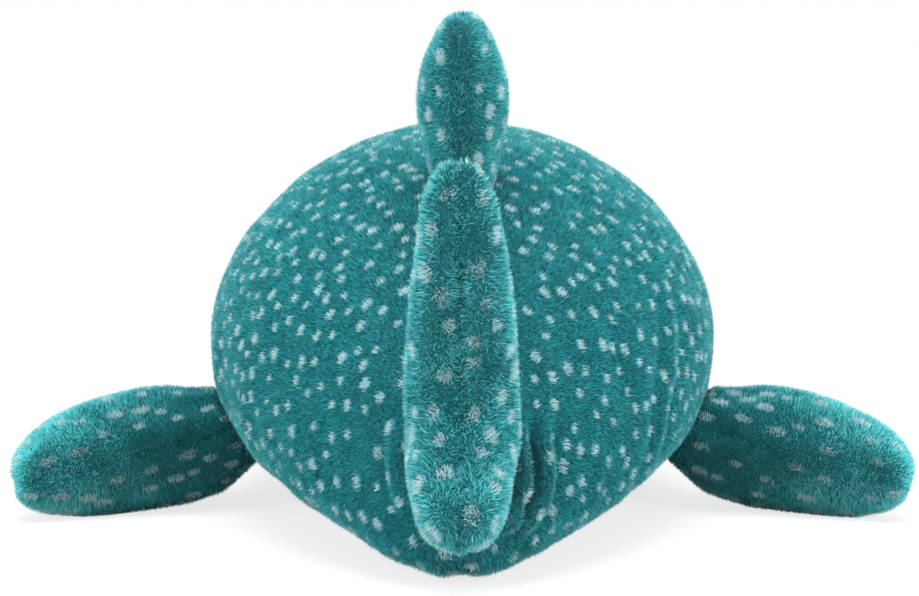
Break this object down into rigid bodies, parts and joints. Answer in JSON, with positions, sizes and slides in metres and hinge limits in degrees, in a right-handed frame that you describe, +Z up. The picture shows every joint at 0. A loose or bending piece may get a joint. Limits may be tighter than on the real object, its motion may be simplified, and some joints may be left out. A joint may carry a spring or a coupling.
{
  "type": "stuffed toy whale shark",
  "caption": "Stuffed plush whale shark with spotted teal pile, a broad domed body, side fins, a back fin and an upright tail fin that flop on their seams.",
  "frame": {"origin": "on the ground, in the middle of the flat of the belly, under the widest place of the body", "axes": "+Y towards the nose, +Z up, +X to the animal's right"},
  "size_m": [0.4134, 0.5325, 0.2291],
  "materials": {
    "spotted_plush": "short teal pile with pale spots",
    "belly_plush": "short cream pile",
    "fibre_filling": "loose polyester fibre",
    "eye_plastic": "polished black",
    "washer_plastic": "moulded",
    "thread": "embroidery thread"
  },
  "bodies": {
    "body": {"back_panel_left": "spotted_plush", "back_panel_right": "spotted_plush", "belly_panel": "belly_plush", "body_filling": "fibre_filling", "left_eye": "eye_plastic", "right_eye": "eye_plastic", "left_eye_washer": "washer_plastic", "right_eye_washer": "washer_plastic", "mouth_thread": "thread"},
    "left_pectoral": {"left_pectoral_upper_skin": "spotted_plush", "left_pectoral_lower_skin": "spotted_plush", "left_pectoral_filling": "fibre_filling"},
    "right_pectoral": {"right_pectoral_upper_skin": "spotted_plush", "right_pectoral_lower_skin": "spotted_plush", "right_pectoral_filling": "fibre_filling"},
    "dorsal_fin": {"dorsal_left_skin": "spotted_plush", "dorsal_right_skin": "spotted_plush", "dorsal_filling": "fibre_filling"},
    "tail_fin": {"tail_left_skin": "spotted_plush", "tail_right_skin": "spotted_plush", "tail_filling": "fibre_filling"}
  },
  "joints": [
    {"name": "left_pectoral_lift", "type": "hinge", "parent": "body", "child": "left_pectoral", "pos_m": [-0.12624, -0.0423, 0.03717], "axis": [-0.1118, 0.9935, 0.0208], "range_deg": [0, 30], "stiffness_Nm_per_rad": 0.15},
    {"name": "right_pectoral_lift", "type": "hinge", "parent": "body", "child": "right_pectoral", "pos_m": [0.12624, -0.0423, 0.03717], "axis": [-0.1118, -0.9935, -0.0208], "range_deg": [0, 30], "stiffness_Nm_per_rad": 0.15},
    {"name": "dorsal_lean", "type": "hinge", "parent": "body", "child": "dorsal_fin", "pos_m": [0, -0.13654, 0.17634], "axis": [0, 0.9405, 0.3397], "range_deg": [-35, 35], "stiffness_Nm_per_rad": 0.12},
    {"name": "tail_sway", "type": "hinge", "parent": "body", "child": "tail_fin", "pos_m": [0, -0.2773, 0.06], "axis": [0, 0, 1], "range_deg": [-30, 30], "stiffness_Nm_per_rad": 0.15}
  ]
}
